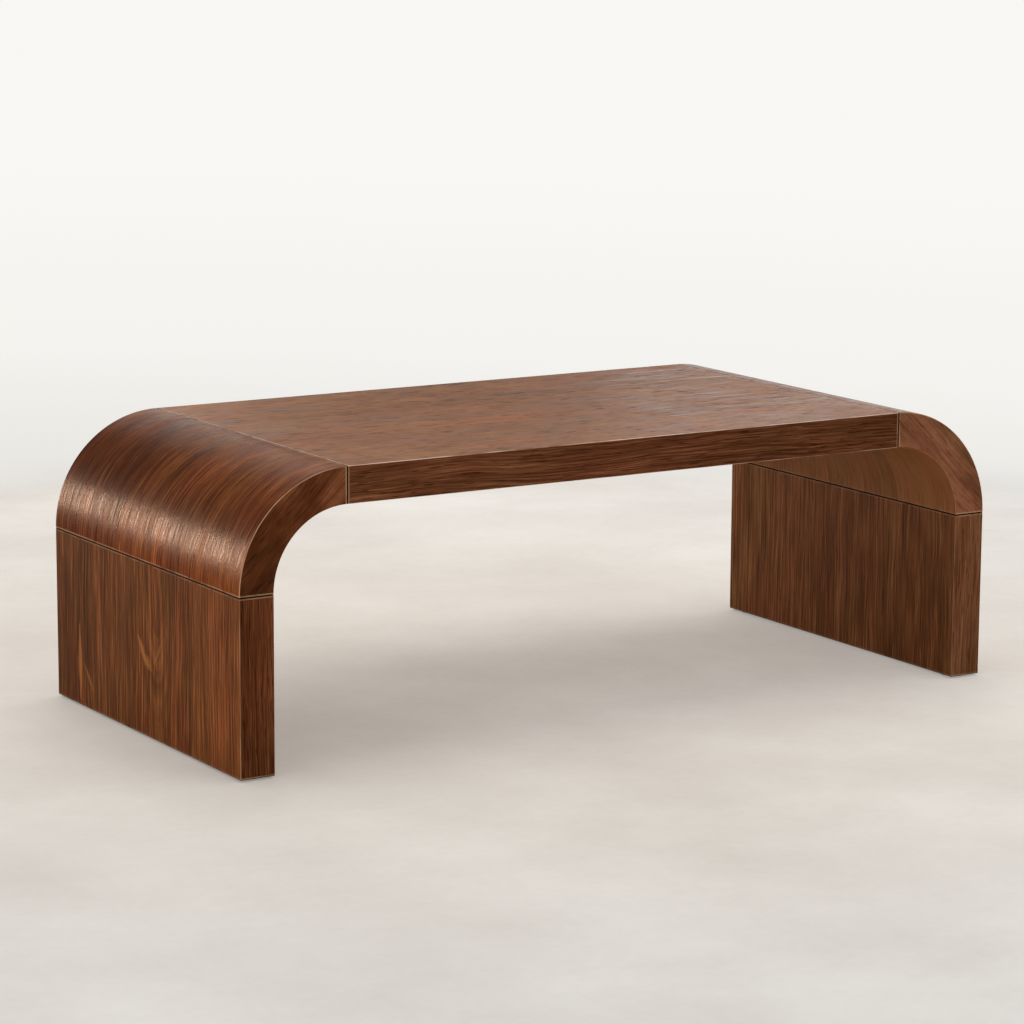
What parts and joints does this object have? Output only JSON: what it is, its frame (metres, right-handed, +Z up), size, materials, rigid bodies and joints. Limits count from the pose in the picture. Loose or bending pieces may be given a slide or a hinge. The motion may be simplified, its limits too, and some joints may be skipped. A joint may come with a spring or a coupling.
{
  "type": "coffee table",
  "caption": "Waterfall coffee table: a flat veneered top runs into full-depth panel legs through quarter-round corners, with V-grooved seams.",
  "frame": {"origin": "on the floor under the middle of the table", "axes": "+Z up, X along the table's length, the front long edge faces -Y"},
  "size_m": [1.3, 0.6, 0.43],
  "materials": {
    "walnut_face": "satin lacquered walnut veneer on thin board",
    "walnut_edge": "satin lacquered walnut, eased arrises",
    "core_board": "sawn, unfinished",
    "tongue_ply": "unfinished plywood",
    "zinc_steel": "zinc plated",
    "insert_brass": "plain",
    "glide_nylon": "matt"
  },
  "bodies": {
    "root": {"left_corner_back_cheek": "walnut_edge", "left_corner_front_cheek": "walnut_edge", "left_corner_inner_skin": "walnut_face", "left_corner_leg_block": "core_board", "left_corner_outer_skin": "walnut_face", "left_corner_ribs": "core_board", "left_corner_top_block": "core_board", "left_glide_screws": "zinc_steel", "left_joint_bolts": "zinc_steel", "left_joint_washers": "zinc_steel", "left_leg_back_lipping": "walnut_edge", "left_leg_foot_rail": "core_board", "left_leg_front_lipping": "walnut_edge", "left_leg_glides": "glide_nylon", "left_leg_inner_skin": "walnut_face", "left_leg_outer_skin": "walnut_face", "left_leg_stiles": "core_board", "left_leg_tongue": "tongue_ply", "left_leg_upper_rail": "core_board", "left_thread_inserts": "insert_brass", "left_top_tongue": "tongue_ply", "right_corner_back_cheek": "walnut_edge", "right_corner_front_cheek": "walnut_edge", "right_corner_inner_skin": "walnut_face", "right_corner_leg_block": "core_board", "right_corner_outer_skin": "walnut_face", "right_corner_ribs": "core_board", "right_corner_top_block": "core_board", "right_glide_screws": "zinc_steel", "right_joint_bolts": "zinc_steel", "right_joint_washers": "zinc_steel", "right_leg_back_lipping": "walnut_edge", "right_leg_foot_rail": "core_board", "right_leg_front_lipping": "walnut_edge", "right_leg_glides": "glide_nylon", "right_leg_inner_skin": "walnut_face", "right_leg_outer_skin": "walnut_face", "right_leg_stiles": "core_board", "right_leg_tongue": "tongue_ply", "right_leg_upper_rail": "core_board", "right_thread_inserts": "insert_brass", "right_top_tongue": "tongue_ply", "top_back_lipping": "walnut_edge", "top_back_rail": "core_board", "top_cross_ribs": "core_board", "top_front_lipping": "walnut_edge", "top_front_rail": "core_board", "top_left_end_block": "core_board", "top_lower_skin": "walnut_face", "top_right_end_block": "core_board", "top_upper_skin": "walnut_face"}
  },
  "joints": []
}
